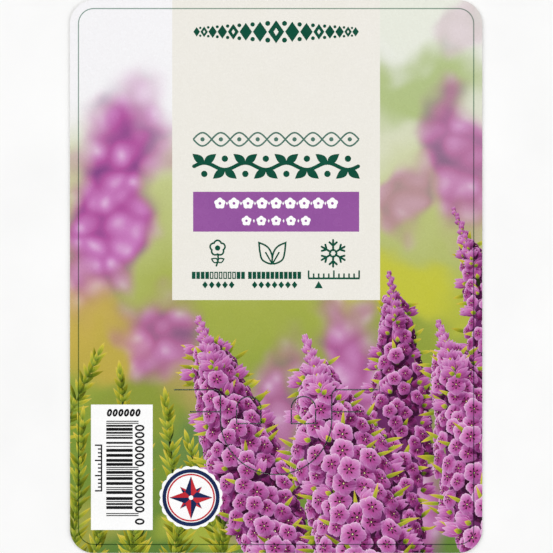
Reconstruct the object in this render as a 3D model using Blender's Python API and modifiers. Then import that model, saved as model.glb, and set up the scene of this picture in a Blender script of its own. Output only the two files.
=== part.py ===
# A plant label for a pot of about one litre: one flat polypropylene sheet, die cut so that a tongue in its
# lower half hooks over the pot's rim. It lies on its plain back with the printed face up, +X to the right
# of the print and +Y to its top. The origin is the middle of the back face. Metres throughout.

import math

import bmesh
import bpy

# The sheet
LABEL_WIDTH = 0.1085
LABEL_HEIGHT = 0.1455
SHEET_THICKNESS = 0.0004
CORNER_RADIUS = 0.0063

# The slit that the die's steel rule leaves, and the uncut nicks that hold each window's blank in place
KERF = 0.00012
NICK = 0.0004

# The tongue is a U with its round end down, carried by the plastic between its two shoulders
TONGUE_WIDTH = 0.0293
TONGUE_END_Y = -0.0521
SHOULDER_Y = -0.0298
SHOULDER_RADIUS = 0.0015
SHOULDER_REACH = 0.0269

# A slit leaves each side of the tongue below its shoulder
SIDE_SLIT_Y = -0.0356
SIDE_SLIT_REACH = 0.0227

# Two arched windows with flat sills stand side by side in the tongue
WINDOW_X = 0.0072
WINDOW_SILL_Y = -0.0387
WINDOW_WIDTH = 0.0064
WINDOW_HEIGHT = 0.0071

# Straight stretches that stand for a quarter turn of each arc
CORNER_STEPS = 16
SHOULDER_STEPS = 6
TONGUE_STEPS = 20
ARCH_STEPS = 8

# Cutters run past both faces by this many thicknesses
CUTTER_DEPTHS = 3

# White polypropylene, satin varnished
SHEET_COLOUR = (0.88, 0.86, 0.82, 1.0)
SHEET_ROUGHNESS = 0.35


def clear_scene():
    for scene_object in list(bpy.data.objects):
        bpy.data.objects.remove(scene_object, do_unlink=True)


def new_collection(name):
    collection = bpy.data.collections.new(name)
    bpy.context.scene.collection.children.link(collection)
    return collection


def sheet_material():
    material = bpy.data.materials.new("polypropylene_sheet")
    material.use_nodes = True
    shader = material.node_tree.nodes["Principled BSDF"]
    shader.inputs["Base Color"].default_value = SHEET_COLOUR
    shader.inputs["Roughness"].default_value = SHEET_ROUGHNESS
    shader.inputs["Metallic"].default_value = 0.0
    return material


def arc(x, y, radius, start, end, quarter_steps):
    """Points from the angle start to the angle end, in degrees, both included."""
    steps = math.ceil(quarter_steps * abs(end - start) / 90)
    angles = [math.radians(start + (end - start) * step / steps) for step in range(steps + 1)]
    return [(x + radius * math.cos(angle), y + radius * math.sin(angle)) for angle in angles]


def mirrored(points):
    """The same path on the other side of the label's middle line."""
    return [(-x, y) for x, y in points]


def sheet_outline():
    centre_x = LABEL_WIDTH / 2 - CORNER_RADIUS
    centre_y = LABEL_HEIGHT / 2 - CORNER_RADIUS
    outline = []
    for turn, (side_x, side_y) in enumerate([(1, 1), (-1, 1), (-1, -1), (1, -1)]):
        start = 90 * turn
        outline += arc(side_x * centre_x, side_y * centre_y, CORNER_RADIUS, start, start + 90, CORNER_STEPS)
    return outline


def tongue_cut():
    """From the left shoulder's outer end, down around the tongue and up to the right shoulder's."""
    half_width = TONGUE_WIDTH / 2
    turn_x = half_width + SHOULDER_RADIUS
    turn_y = SHOULDER_Y - SHOULDER_RADIUS
    left_shoulder = [(-SHOULDER_REACH, SHOULDER_Y)]
    left_shoulder += arc(-turn_x, turn_y, SHOULDER_RADIUS, 90, 0, SHOULDER_STEPS)
    round_end = arc(0, TONGUE_END_Y + half_width, half_width, 180, 360, TONGUE_STEPS)
    return left_shoulder + round_end + mirrored(reversed(left_shoulder))


def side_slit():
    return [(TONGUE_WIDTH / 2, SIDE_SLIT_Y), (SIDE_SLIT_REACH, SIDE_SLIT_Y)]


def window_cuts(x):
    """One cut over the arch and one around each lower corner, with a nick between each and the next."""
    radius = WINDOW_WIDTH / 2
    spring_y = WINDOW_SILL_Y + WINDOW_HEIGHT - radius
    nick_angle = math.degrees(NICK / 2 / radius)
    arch = arc(x, spring_y, radius, nick_angle, 180 - nick_angle, ARCH_STEPS)
    cuts = [arch]
    for side in (-1, 1):
        jamb_x = x + side * radius
        jamb_top = (jamb_x, spring_y - NICK / 2)
        corner = (jamb_x, WINDOW_SILL_Y)
        sill_end = (x + side * NICK / 2, WINDOW_SILL_Y)
        cuts.append([jamb_top, corner, sill_end])
    return cuts


def curve_mesh(name, points, closed, half_depth, collection):
    """A filled plate from a closed outline, or a standing ribbon from an open path, as a welded mesh."""
    curve = bpy.data.curves.new(name, "CURVE")
    curve.dimensions = "2D"
    curve.fill_mode = "BOTH" if closed else "NONE"
    curve.extrude = half_depth
    spline = curve.splines.new("POLY")
    spline.points.add(len(points) - 1)
    for spline_point, (x, y) in zip(spline.points, points):
        spline_point.co = (x, y, 0, 1)
    spline.use_cyclic_u = closed

    curve_object = bpy.data.objects.new(name + "_curve", curve)
    collection.objects.link(curve_object)
    curve_object.location.z = SHEET_THICKNESS / 2
    bpy.context.view_layer.update()
    evaluated = curve_object.evaluated_get(bpy.context.evaluated_depsgraph_get())
    mesh = bpy.data.meshes.new_from_object(evaluated)
    mesh.name = name

    mesh_object = bpy.data.objects.new(name, mesh)
    mesh_object.matrix_world = curve_object.matrix_world
    collection.objects.link(mesh_object)
    bpy.data.objects.remove(curve_object, do_unlink=True)

    weld = bmesh.new()
    weld.from_mesh(mesh)
    bmesh.ops.remove_doubles(weld, verts=weld.verts, dist=0.000001)
    weld.to_mesh(mesh)
    weld.free()
    return mesh_object


def slit_cutter(name, path, collection):
    """A standing wall one kerf thick along the path."""
    depth = CUTTER_DEPTHS * SHEET_THICKNESS
    cutter = curve_mesh(name, path, False, depth, collection)
    wall = cutter.modifiers.new("kerf", "SOLIDIFY")
    wall.thickness = KERF
    wall.offset = 0.0
    wall.use_even_offset = True
    cutter.hide_render = True
    cutter.display_type = "WIRE"
    return cutter


def cut(target, cutter):
    boolean = target.modifiers.new(cutter.name, "BOOLEAN")
    boolean.operation = "DIFFERENCE"
    boolean.solver = "EXACT"
    boolean.object = cutter


def build_label_sheet(label_collection, cutter_collection):
    sheet = curve_mesh("label_sheet", sheet_outline(), True, SHEET_THICKNESS / 2, label_collection)
    sheet.data.materials.clear()
    sheet.data.materials.append(sheet_material())

    paths = {"tongue_cut": tongue_cut()}
    paths["right_side_slit"] = side_slit()
    paths["left_side_slit"] = mirrored(side_slit())
    for side_name, x in (("left", -WINDOW_X), ("right", WINDOW_X)):
        for stretch, path in zip(("arch", "left_corner", "right_corner"), window_cuts(x)):
            paths[f"{side_name}_window_{stretch}"] = path
    for name, path in paths.items():
        cut(sheet, slit_cutter(name, path, cutter_collection))
    return sheet


clear_scene()
build_label_sheet(new_collection("plant_label"), new_collection("cutters"))
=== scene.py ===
# A plant label for a one-litre pot: one sheet of polypropylene, printed, varnished and die cut.
# The print is a flat patchwork. Each printed shape is an outline in millimetres from the label's middle,
# and where shapes overlap, the one printed last shows.
import math
import random

import bmesh
import bpy
from mathutils import Matrix, Vector
from mathutils.geometry import delaunay_2d_cdt


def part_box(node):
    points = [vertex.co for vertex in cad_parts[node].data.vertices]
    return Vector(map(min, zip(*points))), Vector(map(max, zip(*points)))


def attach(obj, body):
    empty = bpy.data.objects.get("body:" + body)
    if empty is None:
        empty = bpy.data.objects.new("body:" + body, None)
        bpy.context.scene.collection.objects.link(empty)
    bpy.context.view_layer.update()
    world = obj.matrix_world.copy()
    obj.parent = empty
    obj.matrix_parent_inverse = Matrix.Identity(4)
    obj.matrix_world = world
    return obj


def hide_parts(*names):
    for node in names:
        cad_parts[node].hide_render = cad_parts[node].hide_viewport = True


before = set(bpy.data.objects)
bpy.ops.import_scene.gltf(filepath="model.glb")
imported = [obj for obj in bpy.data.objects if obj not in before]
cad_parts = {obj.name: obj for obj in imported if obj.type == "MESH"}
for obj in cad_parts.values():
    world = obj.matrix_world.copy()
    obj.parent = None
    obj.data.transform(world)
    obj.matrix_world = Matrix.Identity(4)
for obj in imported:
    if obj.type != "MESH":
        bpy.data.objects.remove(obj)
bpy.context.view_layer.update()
sheetLow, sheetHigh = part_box("label_sheet")

mm = 0.001
labelWide = (sheetHigh[0] - sheetLow[0]) / mm
labelTall = (sheetHigh[1] - sheetLow[1]) / mm

# A print shows its inks as they are, so the picture keeps plain sRGB tones
bpy.context.scene.view_settings.view_transform = "Standard"


def addObject(name, data):
    made = bpy.data.objects.new(name, data)
    bpy.context.scene.collection.objects.link(made)
    return made


cameraValues = {
    "imagePixels": 553,
    "pixelsPerMm": 3.80,
    "distance": 1.2,  # metres; far enough back to keep the sheet's sides square
    "besideMiddle": 0.1,  # mm to the right of the label's middle
}


def addCamera(values):
    camera = addObject("labelCamera", bpy.data.cameras.new("labelCamera"))
    viewWide = values["imagePixels"] / values["pixelsPerMm"] * mm
    camera.data.lens = camera.data.sensor_width * values["distance"] / viewWide
    camera.location = (values["besideMiddle"] * mm, 0, sheetHigh[2] + values["distance"])
    bpy.context.scene.camera = camera


addCamera(cameraValues)
print("camera ready")


# Materials

def toLinear(hexColour):
    channels = [int(hexColour[n:n + 2], 16) / 255 for n in (1, 3, 5)]
    return [c / 12.92 if c <= 0.04045 else ((c + 0.055) / 1.055) ** 2.4 for c in channels] + [1.0]


def addNode(tree, kind, inputs=None, stops=None, **settings):
    # inputs: socket name or number to a value, a socket or a node, which gives its first output
    # stops: a ramp's places and colours
    node = tree.nodes.new("ShaderNode" + kind)
    for name, value in settings.items():
        setattr(node, name, value)
    for name, value in (inputs or {}).items():
        if isinstance(value, bpy.types.Node):
            value = value.outputs[0]
        if isinstance(value, bpy.types.NodeSocket):
            tree.links.new(value, node.inputs[name])
        else:
            node.inputs[name].default_value = value
    if stops:
        ramp = node.color_ramp
        for _ in stops[2:]:
            ramp.elements.new(0.5)
        for element, (place, hexColour) in zip(ramp.elements, stops):
            element.position = place
            element.color = toLinear(hexColour)
    return node


noiseLow, noiseHigh = 0.3, 0.7  # where nearly all of a noise texture's values lie
noiseSpan = {1: noiseLow, 2: noiseHigh}

varnishValues = {
    "roughness": (0.23, 0.31),
    "coat": 0.16,
    "coatRoughness": 0.16,
    "ior": 1.49,  # polypropylene and acrylic varnish alike
    "grainMm": 0.5,  # print screen; the real one, 0.17 mm, is too fine to show
    "grainDepth": 0.015,
    "rippleMm": 2.2,  # slow ripple of the varnish
    "rippleHeightMm": 0.003,
    "cloudMm": 9,  # patches where the press laid a little more ink
    "cloudLow": 0.35,  # noise values between which a patch sets in
    "cloudHigh": 0.65,
    "bump": 0.35,
}
filmColour = [0.06, 0.20, 0.13, 1.0]  # what a full film of the dark green lets through, linear


def newMaterial(name):
    material = bpy.data.materials.new(name)
    material.use_nodes = True
    tree = material.node_tree
    tree.nodes.clear()
    where = addNode(tree, "TexCoord").outputs["Object"]
    return material, tree, where


def varnish(material, tree, where, colour):
    # The whole printed face has one satin varnish over the inks, so gloss and ripple run on from ink to ink
    values = varnishValues
    film = addNode(tree, "Attribute", attribute_name="film").outputs["Fac"]
    lets = addNode(tree, "Mix", {0: film, 6: [1, 1, 1, 1], 7: filmColour}, data_type="RGBA")
    printed = addNode(
        tree, "Mix", {0: 1.0, 6: colour, 7: lets.outputs[2]},
        data_type="RGBA", blend_type="MULTIPLY",
    )
    grain = addNode(
        tree, "TexNoise", {"Vector": where, "Scale": 1 / (values["grainMm"] * mm), "Detail": 1.0}
    )
    density = addNode(
        tree, "MapRange",
        {0: grain, **noiseSpan, 3: 1 - values["grainDepth"], 4: 1 + values["grainDepth"]},
    )
    grained = addNode(tree, "VectorMath", {0: printed.outputs[2], "Scale": density}, operation="SCALE")
    ripple = addNode(
        tree, "TexNoise", {"Vector": where, "Scale": 1 / (values["rippleMm"] * mm), "Detail": 2.0}
    )
    bump = addNode(
        tree, "Bump",
        {"Height": ripple, "Strength": values["bump"], "Distance": values["rippleHeightMm"] * mm},
    )
    gloss = addNode(
        tree, "MapRange",
        {0: ripple, **noiseSpan, 3: values["roughness"][0], 4: values["roughness"][1]},
    )
    shader = addNode(
        tree, "BsdfPrincipled",
        {"Base Color": grained, "Roughness": gloss, "Normal": bump,
         "IOR": values["ior"], "Coat Weight": values["coat"], "Coat Roughness": values["coatRoughness"]},
    )
    addNode(tree, "OutputMaterial", {"Surface": shader})
    return material


def lineInk(name, hexColour, cloudColour):
    # A spot ink lies nearly even, with faint clouds that keep it from looking like a flat fill
    values = varnishValues
    material, tree, where = newMaterial(name)
    cloud = addNode(
        tree, "TexNoise", {"Vector": where, "Scale": 1 / (values["cloudMm"] * mm), "Detail": 3.0}
    )
    patch = addNode(tree, "MapRange", {0: cloud, 1: values["cloudLow"], 2: values["cloudHigh"]})
    colour = addNode(
        tree, "Mix",
        {0: patch, 6: toLinear(hexColour), 7: toLinear(cloudColour)}, data_type="RGBA",
    )
    return varnish(material, tree, where, colour.outputs[2])


# The picture's background: soft patches as colour, x, y, width, height, turn and strength, laid in this order
gardenValues = {
    "heightStops": [
        (0.0, "#5F7F38"), (0.22, "#7F9636"), (0.45, "#A3AC4A"), (0.66, "#C2C88A"),
        (0.84, "#E9E9E2"), (1.0, "#F5F4F6"),
    ],
    "patches": [
        ("#F4F3F5", -40, 60, 90, 66, 0, 0.95),
        ("#E5E8DA", 40, 70, 66, 34, 0, 0.9),
        ("#A9BB74", 38, 50, 54, 30, 10, 0.9),
        ("#D9C069", -54, -8, 30, 26, 0, 0.7),
        ("#C3C33C", 34, -2, 50, 24, -8, 0.9),
        ("#8B9A3A", 34, -22, 50, 28, 8, 0.75),
        ("#C2A94A", -46, -16, 44, 28, -20, 0.85),
        ("#8A963A", -34, -34, 34, 30, 0, 0.85),
        ("#56794C", -16, -50, 34, 40, 14, 0.7),
        ("#C7A06E", -20, -30, 30, 24, -30, 0.5),
        ("#BDB355", -54, -66, 30, 26, 0, 0.5),
        ("#C9CC48", -20, -68, 30, 16, -8, 0.5),
    ],
    "blurredFlowers": [
        (-43, 22, 34, 80, -15, 1.0),
        (-31, -16, 26, 34, 35, 0.85),
        (47, 31, 26, 56, 14, 0.85),
        (33, 20, 20, 24, -20, 0.6),
        (50, 66, 16, 22, -8, 0.28),
        (-4, -42, 26, 70, -14, 0.8),
        (20, -34, 24, 84, 4, 0.9),
        (33, -58, 30, 70, 0, 0.9),
        (54, -34, 20, 70, -6, 0.8),
    ],
    "flowerStops": [(0.0, "#DDB0D8"), (0.3, "#C77CBB"), (0.58, "#B0559C"), (0.85, "#824684")],
    "flowerMm": 5.6,
    "driftMm": 14,  # size of the swings that push the patches out of their ovals
    "pushMm": 20,  # how far a full swing would push them
    "flowerPush": 0.35,  # the florets' part of that
    "patchCore": 0.62,  # how far in from its rim a patch gets its full strength
}


def gardenInk(values):
    # A picture out of focus: soft patches of leaf green, lilac and sky, with flowers that melt together
    material, tree, where = newMaterial("blurredGardenPrint")
    drift = addNode(
        tree, "TexNoise", {"Vector": where, "Scale": 1 / (values["driftMm"] * mm), "Detail": 1.5}
    )
    centred = addNode(tree, "VectorMath", {0: drift.outputs[1], 1: (0.5, 0.5, 0.5)}, operation="SUBTRACT")
    reach = values["pushMm"] * mm
    push = addNode(tree, "VectorMath", {0: centred, 1: (reach, reach, 0)}, operation="MULTIPLY")
    warped = addNode(tree, "VectorMath", {0: where, 1: push}, operation="ADD")
    eased = addNode(
        tree, "VectorMath", {0: push, 1: (values["flowerPush"], values["flowerPush"], 0), 2: where},
        operation="MULTIPLY_ADD",
    )

    height = addNode(tree, "SeparateXYZ", {0: warped}).outputs[1]
    share = addNode(tree, "MapRange", {0: height, 1: -labelTall / 2 * mm, 2: labelTall / 2 * mm})
    colour = addNode(tree, "ValToRGB", {0: share}, stops=values["heightStops"])

    florets = addNode(
        tree, "TexVoronoi",
        {"Vector": eased, "Scale": 1 / (values["flowerMm"] * mm), "Smoothness": 0.6, "Randomness": 1.0},
        feature="SMOOTH_F1",
    )
    floretColour = addNode(tree, "ValToRGB", {0: florets}, stops=values["flowerStops"])

    patches = [(toLinear(hexColour), *rest) for hexColour, *rest in values["patches"]]
    patches += [(floretColour, *rest) for rest in values["blurredFlowers"]]
    for patchColour, x, y, wide, tall, turn, strength in patches:
        own = addNode(
            tree, "Mapping",
            {"Vector": warped, "Location": (x * mm, y * mm, 0), "Rotation": (0, 0, math.radians(turn)),
             "Scale": (wide / 2 * mm, tall / 2 * mm, 1)},
            vector_type="TEXTURE",
        )
        ball = addNode(tree, "TexGradient", {0: own}, gradient_type="SPHERICAL")
        soft = addNode(
            tree, "MapRange", {0: ball.outputs[1], 1: 0.0, 2: values["patchCore"], 4: strength},
            interpolation_type="SMOOTHERSTEP",
        )
        colour = addNode(tree, "Mix", {0: soft, 6: colour, 7: patchColour}, data_type="RGBA").outputs[2]
    return varnish(material, tree, where, colour)


# Drawn flower parts: colour from base to tip, a paler rim, and what shade does to them. In a motif's own
# units its base is at 0 and its tip at 1, with its sides half a unit out
motifValues = {
    "rimFrom": 0.72,
    "rimTo": 1.02,
    "foldWide": 0.14,
    "streakScale": (16, 2.2, 40),  # across, along, and from motif to motif
}

petalValues = {
    "alongStops": [(0.0, "#8A1F66"), (0.26, "#C0559D"), (0.6, "#D284BF"), (1.0, "#E6B5DB")],
    "rimColour": "#F7E3F3",
    "rimStrength": 0.55,
    "shadeStops": [(0.0, "#40123C"), (0.3, "#9A5590"), (0.62, "#DDBCDB"), (1.0, "#FFFFFF")],
    "bulge": 0.55,
    "foldShade": 0.10,
    "streakDepth": 0.08,
}
needleValues = {
    "alongStops": [(0.0, "#5C7A2C"), (0.35, "#9AA836"), (0.72, "#D0C240"), (1.0, "#EFD06A")],
    "rimColour": "#E8E07A",
    "rimStrength": 0.25,
    "shadeStops": [(0.0, "#3A4A22"), (0.35, "#93A060"), (0.7, "#E0E4B8"), (1.0, "#FFFFFF")],
    "bulge": 0.40,
    "foldShade": 0.22,
    "streakDepth": 0.10,
}


def motifInk(name, values):
    # A petal or leaf is drawn as a small pillow: lit from one side, with fine streaks from its base
    material, tree, where = newMaterial(name)
    motif = addNode(tree, "UVMap", uv_map="motif")
    across, along, _ = addNode(tree, "SeparateXYZ", {0: motif}).outputs
    colour = addNode(tree, "ValToRGB", {0: along}, stops=values["alongStops"])

    fromMiddle = addNode(tree, "VectorMath", {0: motif, 1: (0, 0.5, 0)}, operation="SUBTRACT")
    pillow = addNode(tree, "VectorMath", {0: fromMiddle, 1: (2, 2, 0)}, operation="MULTIPLY")
    edge = addNode(tree, "VectorMath", {0: pillow}, operation="LENGTH").outputs[1]
    rimShare = addNode(
        tree, "MapRange",
        {0: edge, 1: motifValues["rimFrom"], 2: motifValues["rimTo"], 4: values["rimStrength"]},
        interpolation_type="SMOOTHSTEP",
    )
    colour = addNode(
        tree, "Mix", {0: rimShare, 6: colour, 7: toLinear(values["rimColour"])}, data_type="RGBA"
    ).outputs[2]

    toLight = addNode(tree, "Attribute", attribute_name="toLight").outputs["Vector"]
    lit = addNode(tree, "VectorMath", {0: pillow, 1: toLight}, operation="DOT_PRODUCT").outputs[1]
    tone = addNode(tree, "Attribute", attribute_name="tone").outputs["Fac"]
    light = addNode(tree, "Math", {0: lit, 1: values["bulge"] / 2, 2: tone}, operation="MULTIPLY_ADD")
    shade = addNode(tree, "ValToRGB", {0: light}, stops=values["shadeStops"])
    colour = addNode(
        tree, "Mix", {0: 1.0, 6: colour, 7: shade}, data_type="RGBA", blend_type="MULTIPLY"
    ).outputs[2]

    fromFold = addNode(tree, "Math", {0: across}, operation="ABSOLUTE")
    fold = addNode(
        tree, "MapRange",
        {0: fromFold, 1: 0.0, 2: motifValues["foldWide"], 3: 1 - values["foldShade"], 4: 1.0},
        interpolation_type="SMOOTHSTEP",
    )
    streakAt = addNode(tree, "CombineXYZ", {0: across, 1: along, 2: tone})
    stretched = addNode(tree, "Mapping", {"Vector": streakAt, "Scale": motifValues["streakScale"]})
    streaks = addNode(tree, "TexNoise", {"Vector": stretched, "Scale": 1.0, "Detail": 1.0})
    streakShade = addNode(
        tree, "MapRange",
        {0: streaks, **noiseSpan, 3: 1 - values["streakDepth"], 4: 1 + values["streakDepth"]},
    )
    for factor in (fold, streakShade):
        colour = addNode(tree, "VectorMath", {0: colour, "Scale": factor}, operation="SCALE")
    return varnish(material, tree, where, colour)


plasticValues = {
    "grainMm": (0.6, 14, 1),  # across, along and through the sheet
    "grainStops": [(noiseLow, "#EFEEEA"), (noiseHigh, "#F6F5F2")],
    "roughness": (0.40, 0.52),
    "grainHeightMm": 0.004,
    "bump": 0.3,
}


def whitePolypropylene(values):
    # Calendered polypropylene film: milky white, with a faint drawn grain from the rollers on its bare back
    material, tree, where = newMaterial("whitePolypropylene")
    drawn = addNode(
        tree, "Mapping", {"Vector": where, "Scale": [1 / (size * mm) for size in values["grainMm"]]}
    )
    grain = addNode(tree, "TexNoise", {"Vector": drawn, "Scale": 1.0, "Detail": 3.0})
    colour = addNode(tree, "ValToRGB", {0: grain}, stops=values["grainStops"])
    gloss = addNode(
        tree, "MapRange",
        {0: grain, **noiseSpan, 3: values["roughness"][0], 4: values["roughness"][1]},
    )
    bump = addNode(
        tree, "Bump",
        {"Height": grain, "Strength": values["bump"], "Distance": values["grainHeightMm"] * mm},
    )
    shader = addNode(
        tree, "BsdfPrincipled",
        {"Base Color": colour, "Roughness": gloss, "Normal": bump,
         "IOR": varnishValues["ior"]},
    )
    addNode(tree, "OutputMaterial", {"Surface": shader})
    return material


inks = {
    "bare": whitePolypropylene(plasticValues),
    "garden": gardenInk(gardenValues),
    "petal": motifInk("petalPrint", petalValues),
    "needle": motifInk("leafPrint", needleValues),
    "petalShade": lineInk("shadedPetalPrint", "#6E2A63", "#4C1D48"),
    "anther": lineInk("antherPrint", "#2C1220", "#40182A"),
    "pollen": lineInk("pollenPrint", "#F1DDB4", "#E5C98E"),
    "stone": lineInk("stonePanelInk", "#ECE9E0", "#EDEAE2"),
    "green": lineInk("darkGreenInk", "#044936", "#08503C"),
    "softGreen": lineInk("softGreenInk", "#4A7063", "#53796C"),
    "purple": lineInk("purpleInk", "#92549C", "#96579F"),
    "white": lineInk("whiteInk", "#FEFEFD", "#FBFBFA"),
    "black": lineInk("blackInk", "#0B0B0D", "#111114"),
    "navy": lineInk("navyInk", "#15244C", "#1A2B58"),
    "red": lineInk("redInk", "#BE2832", "#C6313A"),
}
inkOrder = list(inks)
print("inks mixed")


# Outlines

printedShapes = []
onLabel = Matrix.Identity(3)
hair = 0.05  # mm
pictureLight = Vector((-0.55, 0.83))  # where the drawn light comes from
sharpestMitre = 0.35  # keeps a line's sharp corners from growing into spikes


def placed(x, y, turn=0.0, wide=1.0, tall=1.0):
    # From a motif's own units to millimetres: scaled, turned by degrees, then moved
    c, s = math.cos(math.radians(turn)), math.sin(math.radians(turn))
    return Matrix(((c * wide, -s * tall, x), (s * wide, c * tall, y), (0, 0, 1)))


def moved(place, outline):
    return [(place @ Vector((u, v, 1))).to_2d() for u, v in outline]


def areaOf(corners):
    # Positive where they run counterclockwise
    return sum(a.x * b.y - b.x * a.y for a, b in zip(corners, corners[1:] + corners[:1])) / 2


def clearOfEdge(corner):
    # A corner within a hair of the sheet's edge goes just past it, so that no sliver is left there
    for axis, half in enumerate((labelWide / 2, labelTall / 2)):
        if abs(abs(corner[axis]) - half) < hair:
            corner[axis] = math.copysign(half + hair, corner[axis])
    return corner


def printShape(ink, outline, place=onLabel, tone=0.5, film=0.0, shade=0.0):
    # Film tints and shade darkens what was printed before; a shape with no ink has only those
    corners = moved(place, outline)
    if printedShapes:
        corners = [clearOfEdge(corner) for corner in corners]
    if areaOf(corners) < 0:
        corners.reverse()
    printedShapes.append(
        {"ink": ink, "corners": corners, "place": place, "tone": tone, "film": film, "shade": shade}
    )


def arc(x, y, radius, start, end, steps):
    angles = [math.radians(start + (end - start) * step / steps) for step in range(steps + 1)]
    return [(x + radius * math.cos(a), y + radius * math.sin(a)) for a in angles]


def disc(x, y, radius, steps=20, squash=1.0):
    return [(px, y + (py - y) * squash) for px, py in arc(x, y, radius, 0, 360, steps)[:-1]]


def rectangle(x, y, wide, tall):
    return [(x + i * wide / 2, y + j * tall / 2) for i, j in ((-1, -1), (1, -1), (1, 1), (-1, 1))]


def diamond(x, y, wide, tall):
    return [(x - wide / 2, y), (x, y - tall / 2), (x + wide / 2, y), (x, y + tall / 2)]


def roundedRectangle(wide, tall, radius, steps):
    corners = []
    for turn, (i, j) in enumerate(((1, 1), (-1, 1), (-1, -1), (1, -1))):
        x, y = i * (wide / 2 - radius), j * (tall / 2 - radius)
        corners += arc(x, y, radius, 90 * turn, 90 * turn + 90, steps)
    return corners


def smooth(points, steps=6):
    # A smooth path through these points
    knots = [Vector(point) for point in (points[0], *points, points[-1])]
    path = []
    for a, b, c, d in zip(knots, knots[1:], knots[2:], knots[3:]):
        for step in range(steps):
            t = step / steps
            bend = (2 * a - 5 * b + 4 * c - d) * t * t + (3 * b - a - 3 * c + d) * t ** 3
            path.append((2 * b + (c - a) * t + bend) / 2)
    return path + knots[-1:]


def sidesOf(path, width, closed):
    # The left and right edge of a line of this width along a path, mitred at its corners
    points = [Vector(point) for point in path]
    count = len(points)
    left, right = [], []
    for n, point in enumerate(points):
        last = points[n - 1] if closed or n > 0 else point
        following = points[(n + 1) % count] if closed or n < count - 1 else point
        before = (point - last).normalized()
        after = (following - point).normalized()
        before, after = before if before.length else after, after if after.length else before
        mitre = Vector((-before.y - after.y, before.x + after.x)) / max(1 + before.dot(after), sharpestMitre)
        left.append(point + mitre * width / 2)
        right.append(point - mitre * width / 2)
    return left, right


def printLine(ink, path, width, closed=False, roundEnds=False, **settings):
    left, right = sidesOf(path, width, closed)
    if closed:
        half = len(path) // 2
        left, right = left + left[:1], right + right[:1]
        printShape(ink, right[:half + 1] + left[half::-1], **settings)
        printShape(ink, right[half:] + left[:half - 1:-1], **settings)
        return
    caps = []
    for tip, side in ((path[-1], right[-1]), (path[0], left[0])):
        start = math.degrees(math.atan2(side[1] - tip[1], side[0] - tip[0]))
        caps.append(arc(tip[0], tip[1], width / 2, start, start + 180, 6)[1:-1] if roundEnds else [])
    printShape(ink, right + caps[0] + left[::-1] + caps[1], **settings)


def petalOutline(steps):
    # Widest past its middle, with a notch in its blunt tip
    side = [(0.5 * math.sin(math.pi * (n / steps) ** 1.3) ** 0.75, n / steps) for n in range(1, steps)]
    return [(0, 0), *side, (0.10, 1.0), (0, 0.95), (-0.10, 1.0), *[(-u, v) for u, v in reversed(side)]]


def leafOutline(steps):
    # Widest before its middle, and pointed
    side = [(0.5 * math.sin(math.pi * (n / steps) ** 0.8), n / steps) for n in range(1, steps)]
    return [(0, 0), *side, (0, 1), *[(-u, v) for u, v in reversed(side)]]


petal, finePetal = petalOutline(5), petalOutline(8)
leaf, fineLeaf = leafOutline(5), leafOutline(9)


# The sheet and its die cuts, in the CAD sheet's own places

sheetValues = {
    "cornerRadius": 6.3,
    "kerf": 0.12,
    "tongueWide": 29.3,
    "tongueEndY": -52.1,
    "shoulderY": -29.8,
    "shoulderRadius": 1.5,
    "shoulderReach": 26.9,
    "sideSlitY": -35.6,
    "sideSlitReach": 22.7,
    "windowX": 7.2,
    "windowSillY": -38.7,
    "windowWide": 6.4,
    "windowTall": 7.1,
    "nick": 0.4,
    "guideWide": 0.34,  # printed line that the die follows
    "keylineInset": 2.24,
    "keylineRadius": 4.0,
    "keylineWide": 0.29,
    "keylineFilm": 0.80,
    # straight stretches for a quarter turn, and for the whole round end and each arch
    "cornerSteps": 24,
    "keylineSteps": 12,
    "shoulderSteps": 8,
    "tongueSteps": 48,
    "archSteps": 20,
}


def dieCutPaths(values):
    half = values["tongueWide"] / 2
    turn = values["shoulderRadius"]
    shoulder = [(-values["shoulderReach"], values["shoulderY"])]
    shoulder += arc(-half - turn, values["shoulderY"] - turn, turn, 90, 0, values["shoulderSteps"])
    tongue = shoulder + arc(0, values["tongueEndY"] + half, half, 180, 360, values["tongueSteps"])
    tongue += [(-x, y) for x, y in reversed(shoulder)]
    paths = [tongue]
    for side in (-1, 1):
        slitY = values["sideSlitY"]
        paths.append([(side * half, slitY), (side * values["sideSlitReach"], slitY)])
        radius = values["windowWide"] / 2
        middle = side * values["windowX"]
        springY = values["windowSillY"] + values["windowTall"] - radius
        nickAngle = math.degrees(values["nick"] / 2 / radius)
        paths.append(arc(middle, springY, radius, nickAngle, 180 - nickAngle, values["archSteps"]))
        for jamb in (-1, 1):
            jambX = middle + jamb * radius
            paths.append([
                (jambX, springY - values["nick"] / 2),
                (jambX, values["windowSillY"]),
                (middle + jamb * values["nick"] / 2, values["windowSillY"]),
            ])
    return paths


outline = roundedRectangle(labelWide, labelTall, sheetValues["cornerRadius"], sheetValues["cornerSteps"])
printShape("garden", outline)


# The drawn flowers: slender sprays of open five-petalled blossoms that fan out from the lower right corner

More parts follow.
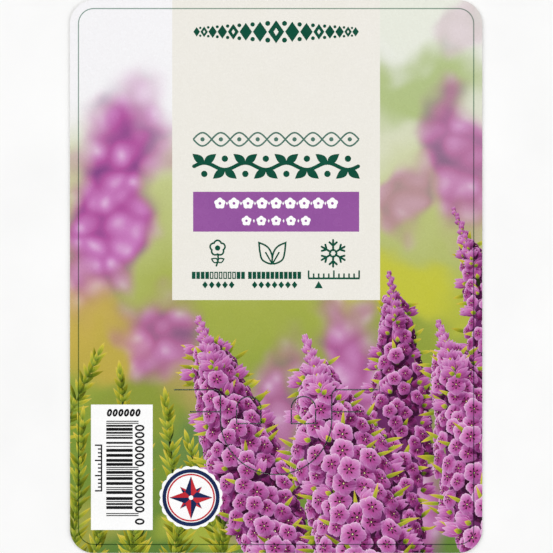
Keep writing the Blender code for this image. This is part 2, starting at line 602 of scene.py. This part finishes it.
# Each spray's stem goes from base past bend to tip, in mm; tone lightens or darkens all of it
sprayValues = {
    "seed": 11,
    "sprays": [
        {"base": (60, -96), "bend": (66, -30), "tip": (47, 17), "halfWide": 6.0, "blossom": 2.5,
         "count": 230, "tone": -0.08},
        {"base": (28, -96), "bend": (36, -40), "tip": (30, 0), "halfWide": 7.0, "blossom": 2.6,
         "count": 240, "tone": -0.10},
        {"base": (14, -104), "bend": (-8, -54), "tip": (-20, -12), "halfWide": 9.5, "blossom": 3.2,
         "count": 310, "tone": 0.0},
        {"base": (64, -108), "bend": (58, -58), "tip": (43, -13), "halfWide": 10.5, "blossom": 3.4,
         "count": 290, "tone": 0.04},
        {"base": (32, -114), "bend": (22, -64), "tip": (8, -17), "halfWide": 11.5, "blossom": 3.7,
         "count": 300, "tone": 0.08},
    ],
    "bloomFrom": 0.06,  # part of the stem where the blossoms start, and where the last of them opens
    "bloomTo": 0.93,
    "budsFrom": 0.85,
    "buds": 18,
    "insideWide": 0.8,  # the shaded inside, as part of the spray's width
    "insideStops": 24,
    "insidePetals": 200,
    "insideAlong": (0.2, 0.82),
    "insideAcross": (-0.6, 0.6),
    "insideTones": (0.12, 0.42),
    "stemWide": 0.8,
    "budShare": 0.14,  # of the lower blossoms, still closed
    "needleShare": 0.34,
    "hiddenPast": -0.25,  # blossoms further round the back than this don't show
    "midTone": 0.56,
    "frontLight": 0.16,  # tone gained at the front of a spray, and on its lit side
    "sideLight": 0.09,
}
goldenAngle = math.radians(137.5)


def onPrint(x, y, reach):
    return abs(x) < labelWide / 2 + reach and abs(y) < labelTall / 2 + reach


blossomValues = {
    # sizes as parts of its radius
    "shadowOffset": (0.16, -0.28),
    "shadowRadii": (1.25, 1.05),
    "shadowShade": 0.15,
    "petalWide": 1.02,
    "petalLong": (0.9, 1.08),
    "anther": (0.17, 0.15, 0.30),  # where it starts, its width and its length
    "heart": 0.13,
    "pollen": 0.07,
    "petalLight": 0.12,  # tone that a petal gains where it points to the light
}


def printBlossom(draw, x, y, radius, outward, squash, tone, values=blossomValues):
    # Foreshortened along the way it looks, its stamens standing out to that side, over its own soft shadow
    away = Vector((math.cos(math.radians(outward)), math.sin(math.radians(outward)))) * (1 - squash) * radius
    lean = placed(x, y, outward, squash, 1)
    aside, above = values["shadowOffset"]
    shadow = placed(x + aside * radius, y + above * radius, outward, squash)
    for reach in values["shadowRadii"]:
        printShape(None, disc(0, 0, reach * radius, 10), shadow, shade=values["shadowShade"])
    turn = draw.uniform(0, 72)
    for n in range(5):
        long = radius * draw.uniform(*values["petalLong"])
        petalTurn = turn + 72 * n + draw.uniform(-6, 6)
        petalPlace = lean @ placed(0, 0, petalTurn, values["petalWide"] * radius, long)
        base, tip = moved(petalPlace, [(0, 0), (0, 1)])
        lit = (tip - base).normalized().dot(pictureLight)
        petalTone = tone + values["petalLight"] * lit + draw.uniform(-0.06, 0.06)
        printShape("petal", petal, petalPlace, tone=petalTone)
    heart = placed(x + 0.5 * away.x, y + 0.5 * away.y, outward, squash, 1)
    printShape("anther", disc(0, 0, values["heart"] * radius, 7), heart)
    start, wide, long = (radius * share for share in values["anther"])
    for n in range(6):
        standing = heart @ placed(0, 0, 60 * n + turn) @ placed(0, start, 0, wide, long)
        printShape("anther", [(0, 0), (0.5, 0.6), (0, 1), (-0.5, 0.6)], standing)
    printShape("pollen", disc(0, 0, values["pollen"] * radius, 5), heart)


def printBud(x, y, size, outward, tone):
    # Three closed petals in a green cup
    turn = outward - 90
    printShape(None, leaf, placed(x + 0.12 * size, y - 0.22 * size, turn, 0.8 * size, 1.1 * size), shade=0.22)
    for side, lighter in ((-1, 0.05), (1, -0.08), (0, 0.10)):
        printShape("petal", leaf, placed(x, y, turn + 17 * side, 0.46 * size, size), tone=tone + lighter)
    printShape("needle", leaf, placed(x, y, turn, 0.30 * size, 0.42 * size), tone=tone + 0.1)


def stemPoint(stem, t):
    base, bend, tip = (Vector(stem[part]) for part in ("base", "bend", "tip"))
    point = base * (1 - t) ** 2 + bend * 2 * t * (1 - t) + tip * t * t
    heading = ((bend - base) * (1 - t) + (tip - bend) * t).normalized()
    return point, heading


def sprayReach(stem, t):
    # Half its width: full for two thirds of its height, then in to a blunt top, with a slow swell on the way
    swell = 1 + 0.09 * math.sin(17 * t + stem["tip"][0])
    return stem["halfWide"] * min(1, 3.0 * (1 - t)) ** 0.8 * swell


def printSpray(draw, stem, values):
    # The shaded inside, then the blossoms from the sides to the front, then the buds at the top
    inside = []
    upward = range(values["insideStops"] + 1)
    for side, stops in ((1, upward), (-1, reversed(upward))):
        for n in stops:
            t = values["bloomFrom"] + (values["bloomTo"] - values["bloomFrom"]) * n / values["insideStops"]
            point, heading = stemPoint(stem, t)
            sideways = Vector((heading.y, -heading.x)) * side
            inside.append(point + sideways * values["insideWide"] * sprayReach(stem, t))
    printShape("petalShade", inside)
    for _ in range(values["insidePetals"]):
        t = draw.uniform(*values["insideAlong"])
        point, heading = stemPoint(stem, t)
        sideways = Vector((-heading.y, heading.x))
        spot = point + sideways * sprayReach(stem, t) * draw.uniform(*values["insideAcross"])
        size, turn, tone = stem["blossom"], draw.uniform(0, 360), draw.uniform(*values["insideTones"])
        if onPrint(spot.x, spot.y, size):
            printShape("petal", petal, placed(spot.x, spot.y, turn, size, 1.2 * size), tone=tone)
    stalk = [stemPoint(stem, 0.8 + 0.2 * n / 9)[0] for n in range(10)]
    printLine("needle", stalk, values["stemWide"], tone=0.7)

    blossoms = []
    for n in range(stem["count"]):
        t = values["bloomFrom"] + (values["bloomTo"] - values["bloomFrom"]) * (n / stem["count"]) ** 0.9
        angle = n * goldenAngle + draw.uniform(-0.18, 0.18)
        swing, depth = math.sin(angle), math.cos(angle)
        point, heading = stemPoint(stem, t + draw.uniform(-0.005, 0.005))
        sideways = Vector((-heading.y, heading.x))
        spot = point + sideways * swing * sprayReach(stem, t) * draw.uniform(0.86, 1.04)
        if depth > values["hiddenPast"]:
            blossoms.append((depth + draw.uniform(-0.15, 0.15), spot, heading, sideways, swing, t))
    for depth, spot, heading, sideways, swing, t in sorted(blossoms, key=lambda blossom: blossom[0]):
        outward = sideways * swing + heading * 0.35
        turn = math.degrees(math.atan2(outward.y, outward.x))
        radius = stem["blossom"] * min(1 - 0.22 * t, 0.4 + 3 * (1 - t)) * draw.uniform(0.82, 1.14)
        tone = (
            values["midTone"] + values["frontLight"] * depth + values["sideLight"] * swing
            + stem["tone"] + draw.uniform(-0.06, 0.08)
        )
        needleTurn, needleTone, needleChance = draw.uniform(-30, 30), draw.uniform(0.6, 1.0), draw.random()
        budChance = draw.random()
        if not onPrint(spot.x, spot.y, 2 * radius):
            continue
        if needleChance < values["needleShare"]:
            needlePlace = placed(spot.x, spot.y, turn - 90 + needleTurn, 1.1, 2.0 * radius)
            printShape("needle", leaf, needlePlace, tone=needleTone)
        if budChance < values["budShare"]:
            printBud(spot.x, spot.y, 1.6 * radius, turn, tone)
        else:
            printBlossom(draw, spot.x, spot.y, radius, turn, 1 - 0.5 * swing ** 2, tone)
    for n in reversed(range(values["buds"])):
        share = n / (values["buds"] - 1)
        point, heading = stemPoint(stem, values["budsFrom"] + (1 - values["budsFrom"]) * share)
        side = (-1, 1, 0)[n % 3]
        upward = math.degrees(math.atan2(heading.y, heading.x))
        outward = upward + side * (62 - 44 * share) + draw.uniform(-9, 9)
        size = stem["blossom"] * (1.2 - 0.6 * share) * draw.uniform(0.9, 1.1)
        printBud(point.x, point.y, size, outward, 0.6 + stem["tone"] + 0.05 * side + draw.uniform(-0.1, 0.12))


foliageValues = {
    "seed": 4,
    "needleLong": 6.6,
    "needleWide": 1.05,
    "lightest": 1.0,
    "darkest": 0.36,
    # base and tip of each leafy shoot, and its rings of needles
    "shoots": [
        ((-62, -52), (-47, -21), 21), ((-36, -78), (-41, -26), 28), ((-54, -80), (-51, -38), 22),
        ((-24, -84), (-29, -33), 28), ((-40, -84), (-34, -44), 22), ((-10, -88), (-23, -44), 24),
        ((-14, -86), (-14, -58), 16), ((-30, -86), (-24, -60), 16), ((-50, -88), (-46, -64), 14),
    ],
}


def printShoot(draw, base, tip, rings, values):
    # Three needles to a ring, the middle one towards the eye and so the shortest
    base, tip = Vector(base), Vector(tip)
    heading = math.degrees(math.atan2(tip.y - base.y, tip.x - base.x)) - 90
    printLine("needle", [base, tip], 0.6, tone=0.6)
    for n in range(rings):
        share = n / rings
        spot = base.lerp(tip, share + draw.uniform(-0.3, 0.3) / rings)
        for side, length in ((-1, 1.0), (1, 1.0), (0.2 * (-1) ** n, 0.7)):
            long = values["needleLong"] * length * (1 - 0.42 * share) * draw.uniform(0.85, 1.15)
            turn = heading + side * (46 - 20 * share) + draw.uniform(-14, 14)
            wide = values["needleWide"] * draw.uniform(0.85, 1.1)
            tone = draw.uniform(values["darkest"], values["lightest"])
            if onPrint(spot.x, spot.y, long):
                printShape(None, leaf, placed(spot.x + 0.3, spot.y - 0.5, turn, 1.4 * wide, long), shade=0.12)
                printShape("needle", leaf, placed(spot.x, spot.y, turn, wide, long), tone=tone)
    printShape("needle", leaf, placed(tip.x, tip.y, heading, 1.3, 4.2), tone=0.95)


foliageDraw = random.Random(foliageValues["seed"])
for shoot in foliageValues["shoots"]:
    printShoot(foliageDraw, *shoot, foliageValues)
sprayDraw = random.Random(sprayValues["seed"])
for spray in sprayValues["sprays"]:
    printSpray(sprayDraw, spray, sprayValues)
print("flowers drawn:", len(printedShapes), "shapes")


# The pale panel and what is printed on it

panelValues = {
    "wide": 54.7,
    "bottomY": -6.2,
    "bannerWide": 43.7,
    "bannerTall": 10.5,
    "bannerY": 17.05,
    # for each row: height above the banner's middle, blossoms, pitch and blossom radius
    "bannerRows": [(2.2, 9, 3.7, 1.55), (-2.4, 5, 3.9, 1.35)],
    "headerY": 64.4,
    "ribbonY": 36.1,
    "garlandY": 29.0,
    "flowerIcon": (-15.4, 7.5),
    "leavesIcon": (-1.0, 6.2),
    "snowIcon": (15.0, 6.1),
    # x, months in season and marks below of each calendar
    "calendars": [(-15.2, (0, 1, 2, 3, 10, 11), 5), (-0.4, range(12), 7)],
    "monthsY": 0.3,
    "marksY": -2.2,
    "scale": (15.2, 0.2),
}
panelTop = labelTall / 2 + 1
panelMiddle = (panelTop + panelValues["bottomY"]) / 2
panelTall = panelTop - panelValues["bottomY"]
printShape("stone", rectangle(0, panelMiddle, panelValues["wide"], panelTall))


def printHeader(y, tallest=6.1, taper=0.88, lozenges=8):
    # A chain of lozenges that tapers to both sides, with a bead above and below each gap
    x, tall = 0.0, tallest
    for n in range(lozenges):
        for side in (-1, 1) if n else (1,):
            printShape("green", diamond(side * x, y, 0.70 * tall, tall))
            if n % 3 == 0:
                printShape("stone", diamond(side * x, y, 0.22 * tall, 0.34 * tall))
        step = 0.37 * tall * (1 + taper)
        beadX = x + 0.52 * step
        if n < lozenges - 1:
            for side in (-1, 1):
                for above in (-1, 1):
                    printShape("green", disc(side * beadX, y + above * 0.36 * tall, 0.11 * tall, 12))
        x += step
        tall *= taper


def wave(y, halfWide, swing, halfWaves, steps):
    count = halfWaves * steps
    return [
        (-halfWide + 2 * halfWide * n / count, y + swing * math.sin(math.pi * n / steps))
        for n in range(count + 1)
    ]


def printRibbon(y, halfWide=21.8, swing=1.75, waves=9):
    # Two fine waves that cross, with a bead in each loop
    for side in (-1, 1):
        printLine("softGreen", wave(y, halfWide, side * swing, waves, 12), 0.44)
    for n in range(waves):
        printShape("softGreen", disc(-halfWide + halfWide * (2 * n + 1) / waves, y, 0.58, 12))


def printGarland(y, halfWide=21.6, swing=0.9, waves=4):
    # A running stem with a pair of leaves on every crest and a berry in every hollow
    printLine("green", wave(y, halfWide, swing, 2 * waves, 8), 1.0, roundEnds=True)
    for n in range(2 * waves):
        side = 1 if n % 2 == 0 else -1
        x = -halfWide + halfWide * (n + 0.5) / waves
        for turn in (-52, 52):
            leafPlace = placed(x, y + side * swing * 0.9, turn if side > 0 else turn + 180, 2.1, 4.0)
            printShape("green", fineLeaf, leafPlace)
        printShape("green", disc(x, y - side * 2.0, 0.85, 14))


def printSmallFlower(ink, heart, x, y, radius):
    for n in range(5):
        printShape(ink, finePetal, placed(x, y, 72 * n, radius * 0.92, radius))
    printShape(heart, disc(x, y, radius * 0.24, 10))


def printBanner(values):
    y = values["bannerY"]
    printShape("purple", rectangle(0, y, values["bannerWide"], values["bannerTall"]))
    for above, count, pitch, radius in values["bannerRows"]:
        for n in range(count):
            x = (n - (count - 1) / 2) * pitch
            printSmallFlower("white", "purple", x, y + above, radius)
            if n:
                printShape("white", diamond(x - pitch / 2, y + above, 0.5, 1.0))


def printFlowerIcon(x, y):
    head = []
    for n in range(60):
        a = math.radians(6 * n)
        reach = 1.60 + 0.42 * abs(math.cos(2.5 * (a - math.pi / 2)))
        head.append((x + reach * math.cos(a), y + reach * math.sin(a)))
    stalk = smooth([(x + 0.1, y - 1.8), (x + 0.1, y - 3.4), (x - 0.35, y - 4.7)])
    printLine("green", stalk, 0.44, roundEnds=True)
    for side in (-1, 1):
        leafPlace = placed(x + 0.05, y - 3.6, -side * 66, 1.15, 1.75)
        printLine("green", moved(leafPlace, fineLeaf), 0.36, closed=True)
    printLine("green", head, 0.46, closed=True)
    printShape("green", disc(x, y, 0.70))


def printLeavesIcon(x, y):
    for side in (-1, 1):
        outline = smooth([
            (x + side * 3.5, y + 2.7), (x + side * 3.25, y + 0.2), (x + side * 2.55, y - 1.9),
            (x + side * 0.2, y - 2.85), (x + side * 0.05, y - 1.0), (x + side * 0.6, y + 0.7),
            (x + side * 1.7, y + 1.9), (x + side * 3.5, y + 2.7),
        ])[:-1]
        if side > 0:
            printShape("stone", outline)
        printLine("green", outline, 0.46, closed=True)
        printLine("green", [(x + side * 0.25, y - 2.5), (x + side * 1.75, y + 0.1)], 0.40, roundEnds=True)


def printSnowIcon(x, y, reach=3.5):
    barbs = [[(0, 0.8), (0, reach)], [(-0.95, 2.9), (0, 2.0), (0.95, 2.9)]]
    for n in range(6):
        arm = placed(x, y, 60 * n)
        for path in barbs:
            printLine("green", moved(arm, path), 0.54, roundEnds=True)
    printLine("green", disc(x, y, 0.9, 18), 0.48, closed=True)


def printMonths(x, y, inSeason, pitch=1.18):
    # Twelve cells, one for each month, filled where it is in season
    for n in range(12):
        cellX = x + (n - 5.5) * pitch
        printShape("green", rectangle(cellX, y, 0.96, 1.9))
        if n not in inSeason:
            printShape("stone", rectangle(cellX, y, 0.36, 1.3))


def printMarks(x, y, count, pitch=1.75):
    for n in range(count):
        printShape("green", diamond(x + (n - (count - 1) / 2) * pitch, y, 1.5, 1.9))


def printScale(x, y, pitch=1.33):
    # A frost scale: a ruled line with ticks, the longer ones at its ends and middle, and a pointer below
    printShape("green", rectangle(x, y - 0.7, 13.6, 0.50))
    for n in range(11):
        tall = 1.2 if n % 5 else 2.0
        printShape("green", rectangle(x + (n - 5) * pitch, y - 0.6 + tall / 2, 0.42, tall))
    printShape("green", [(x - 4.0, y - 1.4), (x - 5.1, y - 3.3), (x - 2.9, y - 3.3)])


printHeader(panelValues["headerY"])
printRibbon(panelValues["ribbonY"])
printGarland(panelValues["garlandY"])
printBanner(panelValues)
printFlowerIcon(*panelValues["flowerIcon"])
printLeavesIcon(*panelValues["leavesIcon"])
printSnowIcon(*panelValues["snowIcon"])
for x, inSeason, marks in panelValues["calendars"]:
    printMonths(x, panelValues["monthsY"], inSeason)
    printMarks(x, panelValues["marksY"], marks)
printScale(*panelValues["scale"])
print("panel printed")


# The white bar code box, with bars of made-up widths and noughts for digits

barcodeValues = {
    "seed": 8,
    "centre": (-40.6, -50.2),
    "size": (16.25, 33.0),
    "module": 0.264,
    "topY": -37.97,
    "barLeft": -44.7,
    "barRight": -37.75,
    "guardRight": -36.2,
    "digitX": -35.9,
    "guards": (0, 2, 46, 48, 92, 94),  # modules from the top
    "halves": ((4, 44), (50, 90)),
    # lowest nought, spacing and count of each group, from the lone one up
    "digitGroups": [(-64.5, 0, 1), (-61.3, 1.88, 6), (-49.15, 1.86, 6)],
    "topDigits": {"x": -40.1, "y": -35.85, "pitch": 1.5, "count": 6, "slant": 0.2},
    "ruler": {"x": -46.0, "bottomY": -56.4, "ticks": 13, "short": 0.9, "long": 1.7, "line": 0.38},
}


def printBarcode(values):
    draw = random.Random(values["seed"])
    printShape("white", rectangle(*values["centre"], *values["size"]))
    bars = [(place, 1, values["guardRight"]) for place in values["guards"]]
    for first, last in values["halves"]:
        place = first
        while place < last:
            wide = draw.choice((1, 2, 2, 3, 3))
            bars.append((place, min(wide, last + 1 - place), values["barRight"]))
            place += wide + draw.choice((1, 1, 1, 2, 3))
    for place, wide, right in bars:
        y = values["topY"] - (place + wide / 2) * values["module"]
        x = (values["barLeft"] + right) / 2
        printShape("black", rectangle(x, y, right - values["barLeft"], wide * values["module"]))
    for lowest, pitch, count in values["digitGroups"]:
        for n in range(count):
            nought = disc(values["digitX"], lowest + pitch * n, 1.05, 18, squash=0.58)
            printLine("black", nought, 0.48, closed=True)
    top = values["topDigits"]
    for n in range(top["count"]):
        middle = top["x"] + (n - (top["count"] - 1) / 2) * top["pitch"]
        path = [(x * 0.55 + middle + top["slant"] * y, y + top["y"]) for x, y in disc(0, 0, 0.75, 16)]
        printLine("black", path, 0.52, closed=True)
    ruler = values["ruler"]
    for n in range(ruler["ticks"]):
        long = ruler["short"] if n % 4 else ruler["long"]
        printShape("black", rectangle(ruler["x"] - long / 2, ruler["bottomY"] + n, long, ruler["line"]))
    tall = ruler["ticks"] - 1
    spine = rectangle(ruler["x"] + 0.05, ruler["bottomY"] + tall / 2, ruler["line"], tall + ruler["line"])
    printShape("black", spine)


printBarcode(barcodeValues)


# A round scalloped seal with an eight-pointed star

sealValues = {
    "x": -22.4,
    "y": -58.2,
    "radius": 8.4,
    "scallops": 20,
    "scallopDeep": 0.42,
    "rings": [("navy", 1.35, 1.0), ("red", 2.3, 0.42)],  # ink, depth in from the rim and width
    "points": [(4.1, 1.6, 45), (5.7, 2.2, 0)],  # reach, reach of its hollows and first turn of each four
}


def printSeal(values):
    x, y, count = values["x"], values["y"], values["scallops"]
    edge = []
    for n in range(count * 6):
        a = 2 * math.pi * n / (count * 6)
        reach = values["radius"] - values["scallopDeep"] * (1 - abs(math.sin(a * count / 2)))
        edge.append((x + reach * math.cos(a), y + reach * math.sin(a)))
    printShape("white", edge)
    for ink, depth, wide in values["rings"]:
        printLine(ink, disc(x, y, values["radius"] - depth, 48), wide, closed=True)
    for reach, inner, start in values["points"]:
        for turn in range(start, 360, 90):
            for side, ink in ((-1, "navy"), (1, "red")):
                facet = [(0, 0), (side * inner * 0.7, inner * 0.7), (0, reach)]
                printShape(ink, facet, placed(x, y, turn))
    printShape("white", disc(x, y, 0.6, 16))


printSeal(sealValues)


# Printed line inside the edge and guide lines along the cuts, then the cuts themselves

keyline = roundedRectangle(
    labelWide - 2 * sheetValues["keylineInset"], labelTall - 2 * sheetValues["keylineInset"],
    sheetValues["keylineRadius"], sheetValues["keylineSteps"],
)
printLine(None, keyline, sheetValues["keylineWide"], closed=True, film=sheetValues["keylineFilm"])
cutPaths = dieCutPaths(sheetValues)
for path in cutPaths:
    printLine(None, path, sheetValues["guideWide"], film=1.0)
for path in cutPaths:
    printLine("slit", path, sheetValues["kerf"])
print("print ready:", len(printedShapes), "shapes")


# The sheet itself

meshValues = {
    "weld": 0.004,  # mm between points that count as one
    "shortest": 0.002,  # mm; shorter edges are closed up
    "flatAngle": 0.05,  # degrees
    "deepestShade": 0.5,
    "mapMargin": 0.008,
    "backMapShare": 0.31,
    "wallMap": (0.2, 0.4, 0.55),  # width, lowest place and height of the walls' corner of the map
}


def shownOn(numbers):
    # What shows on a patch: the last ink's shape, and the film and shade on it; None where there is no sheet
    film = shade = 0.0
    for number in sorted(numbers, reverse=True):
        shape = printedShapes[number]
        if shape["ink"] == "slit":
            return None
        if shape["ink"]:
            return (number, film, min(shade, meshValues["deepestShade"])) if 0 in numbers else None
        film = max(film, shape["film"])
        shade += shape["shade"]
    return None


def printedFace(bm):
    corners, outlines = [], []
    for shape in printedShapes:
        outlines.append(list(range(len(corners), len(corners) + len(shape["corners"]))))
        corners += shape["corners"]
    points, _, patches, _, _, owners = delaunay_2d_cdt(corners, [], outlines, 1, meshValues["weld"])
    print("patchwork:", len(patches), "patches")

    toneLayer = bm.faces.layers.float.new("tone")
    filmLayer = bm.faces.layers.float.new("film")
    lightLayer = bm.faces.layers.float_vector.new("toLight")
    motifMap = bm.loops.layers.uv.new("motif")
    vertices, shown = {}, {}
    for patch, owner in zip(patches, owners):
        found = shownOn(owner)
        if not found:
            continue
        for n in patch:
            if n not in vertices:
                x = min(max(points[n].x * mm, sheetLow[0]), sheetHigh[0])
                y = min(max(points[n].y * mm, sheetLow[1]), sheetHigh[1])
                vertices[n] = bm.verts.new((x, y, sheetHigh[2]))
        face = bm.faces.new([vertices[n] for n in patch])
        shown[face] = found
        number, film, shade = found
        shape = printedShapes[number]
        toMotif = shape["place"].inverted()
        face.material_index = inkOrder.index(shape["ink"])
        face[filmLayer] = film
        if shape["ink"] in ("petal", "needle"):
            toLight = (toMotif.to_2x2() @ pictureLight).normalized()
            face[toneLayer] = shape["tone"] - shade
            face[lightLayer] = toLight.to_3d()
        for loop, n in zip(face.loops, patch):
            loop[motifMap].uv = (toMotif @ Vector((points[n].x, points[n].y, 1))).to_2d()

    # Patches that show the same ink become one, so the mesh has only the outlines that can be seen
    plain = {number for number, shape in enumerate(printedShapes) if shape["ink"] not in ("petal", "needle")}
    for edge in bm.edges:
        looks = set()
        for face in edge.link_faces:
            number, film, shade = shown[face]
            looks.add((printedShapes[number]["ink"], film) if number in plain else (number, film, shade))
        edge.seam = len(looks) > 1
    bm.normal_update()
    bmesh.ops.dissolve_limit(
        bm, angle_limit=math.radians(meshValues["flatAngle"]), use_dissolve_boundaries=False,
        verts=bm.verts, edges=bm.edges, delimit={"SEAM"},
    )
    # The edge of the sheet is left as it is, so that it stays one clean ring
    inner = [edge for edge in bm.edges if not any(vertex.is_boundary for vertex in edge.verts)]
    bmesh.ops.dissolve_degenerate(bm, dist=meshValues["shortest"] * mm, edges=inner)
    bmesh.ops.delete(bm, geom=[edge for edge in bm.edges if not edge.link_faces], context="EDGES")
    bmesh.ops.triangulate(bm, faces=bm.faces, quad_method="BEAUTY", ngon_method="BEAUTY")
    for edge in bm.edges:
        edge.seam = False


def loopsOf(edges):
    # The closed rings of vertices that these edges make
    after = {}
    for edge in edges:
        for vertex in edge.verts:
            after.setdefault(vertex, []).append(edge.other_vert(vertex))
    loops, seen = [], set()
    for start in after:
        loop, vertex = [], start
        while vertex is not None and vertex not in seen:
            seen.add(vertex)
            loop.append(vertex)
            vertex = next((other for other in after[vertex] if other not in seen), None)
        if loop:
            loops.append(loop)
    return loops


def addWalls(bm):
    # Straight down from the edges and the cuts, where the die has bared the plastic
    edges = [edge for edge in bm.edges if edge.is_boundary]
    made = bmesh.ops.extrude_edge_only(bm, edges=edges)["geom"]
    vertices = [item for item in made if isinstance(item, bmesh.types.BMVert)]
    bmesh.ops.translate(bm, verts=vertices, vec=(0, 0, sheetLow[2] - sheetHigh[2]))
    for item in made:
        if isinstance(item, bmesh.types.BMFace):
            item.material_index = inkOrder.index("bare")
    return [edge for edge in bm.edges if edge.is_boundary]


def addBack(bm, edges):
    # The plain back inside the largest loop, with the loops of the cuts left open
    loops = []
    for loop in loopsOf(edges):
        area = areaOf([vertex.co.to_2d() / mm for vertex in loop])
        loops.append((abs(area), loop if area > 0 else loop[::-1]))
    loops.sort(key=lambda item: item[0], reverse=True)
    corners, outlines = [], []
    for _, loop in loops:
        outlines.append(list(range(len(corners), len(corners) + len(loop))))
        corners += loop
    places = [vertex.co.to_2d() / mm for vertex in corners]
    _, _, patches, origins, _, owners = delaunay_2d_cdt(places, [], outlines, 1, 0.0)
    for patch, owner in zip(patches, owners):
        if owner == [0]:
            face = bm.faces.new([corners[origins[n][0]] for n in reversed(patch)])
            face.material_index = inkOrder.index("bare")


def mapForBaking(bm):
    # One more map, OFBake: the printed face as it is, the back smaller beside it, the walls in a corner
    bakeMap = bm.loops.layers.uv.new("OFBake")
    low, span = meshValues["mapMargin"], 1 - 2 * meshValues["mapMargin"]
    scale = span / labelTall
    faceWide = labelWide * scale
    backScale = scale * meshValues["backMapShare"]
    wallWide, wallLow, wallTall = meshValues["wallMap"]
    for face in bm.faces:
        for loop in face.loops:
            x, y = loop.vert.co.x / mm + labelWide / 2, loop.vert.co.y / mm + labelTall / 2
            if face.normal.z > 0.99:
                spot = (low + x * scale, low + y * scale)
            elif face.normal.z < -0.99:
                spot = (2 * low + faceWide + x * backScale, low + y * backScale)
            else:
                depth = (sheetHigh[2] - loop.vert.co.z) / (sheetHigh[2] - sheetLow[2])
                along = (x + y) / (labelWide + labelTall)
                spot = (2 * low + faceWide + depth * wallWide, wallLow + wallTall * along)
            loop[bakeMap].uv = spot


def buildSheet():
    bm = bmesh.new()
    printedFace(bm)
    addBack(bm, addWalls(bm))
    bmesh.ops.recalc_face_normals(bm, faces=bm.faces)
    bm.normal_update()
    mapForBaking(bm)
    openEdges = sum(not edge.is_manifold for edge in bm.edges)
    volume = round(bm.calc_volume() / mm ** 3, 1)
    print("sheet:", len(bm.faces), "faces,", openEdges, "open edges,", volume, "cubic millimetres")
    mesh = bpy.data.meshes.new("printed_label")
    bm.to_mesh(mesh)
    bm.free()
    for ink in inks.values():
        mesh.materials.append(ink)
    return addObject("printed_label", mesh)


sheet = buildSheet()
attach(sheet, "root")
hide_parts("label_sheet")
print("sheet built")


# Floor, light and sky

studioValues = {
    # metres
    "floorWide": 8.0,
    "floorBelow": 0.0002,
    "floorGrain": 0.025,
    "floorStops": [(noiseLow, "#F3F3F2"), (noiseHigh, "#F7F7F6")],
    "floorRoughness": 0.9,
    "skyColour": "#FBFBFC",
    "skyStrength": 1.0,
    "horizonStrength": 0.10,  # a darker rim round the table keeps low views of the varnish clear
    "horizonTop": 0.62,
    "blindStrength": 0.03,  # the dark blind over the copy stand keeps glare off the varnish
    "blindEdge": (0.70, 0.92),  # height of its rim and of its full dark, as parts of the sky's own height
    "lights": [
        # name, x, y, z, size, watts
        ("windowLight", -1.2, 1.0, 1.4, 2.2, 25.8),
        ("fillLight", 1.3, -0.4, 1.1, 1.7, 13.4),
    ],
}


def addStudio(values):
    bm = bmesh.new()
    bmesh.ops.create_grid(bm, x_segments=1, y_segments=1, size=values["floorWide"] / 2)
    bmesh.ops.translate(bm, verts=bm.verts, vec=(0, 0, sheetLow[2] - values["floorBelow"]))
    mesh = bpy.data.meshes.new("floor")
    bm.to_mesh(mesh)
    bm.free()
    material, tree, where = newMaterial("paleTable")
    grain = addNode(tree, "TexNoise", {"Vector": where, "Scale": 1 / values["floorGrain"], "Detail": 3.0})
    colour = addNode(tree, "ValToRGB", {0: grain}, stops=values["floorStops"])
    shader = addNode(
        tree, "BsdfPrincipled",
        {"Base Color": colour, "Roughness": values["floorRoughness"], "Specular IOR Level": 0.0},
    )
    addNode(tree, "OutputMaterial", {"Surface": shader})
    mesh.materials.append(material)
    addObject("floor", mesh)

    for name, x, y, z, size, watts in values["lights"]:
        light = bpy.data.lights.new(name, "AREA")
        light.size = size
        light.energy = watts
        lamp = addObject(name, light)
        lamp.location = (x, y, z)
        lamp.rotation_euler = (-Vector((x, y, z))).to_track_quat("-Z", "Y").to_euler()

    world = bpy.data.worlds.new("studioSky")
    bpy.context.scene.world = world
    world.use_nodes = True
    tree = world.node_tree
    background = tree.nodes["Background"]
    background.inputs["Color"].default_value = toLinear(values["skyColour"])
    direction = addNode(tree, "TexCoord").outputs["Generated"]
    height = addNode(tree, "SeparateXYZ", {0: direction}).outputs[2]
    rising = addNode(
        tree, "MapRange",
        {0: height, 1: 0.0, 2: values["horizonTop"], 3: values["horizonStrength"], 4: values["skyStrength"]},
        interpolation_type="SMOOTHSTEP",
    )
    strength = addNode(
        tree, "MapRange",
        {0: height, 1: values["blindEdge"][0], 2: values["blindEdge"][1],
         3: rising, 4: values["blindStrength"]},
        interpolation_type="SMOOTHSTEP",
    )
    tree.links.new(strength.outputs[0], background.inputs["Strength"])


addStudio(studioValues)
print("studio lit")
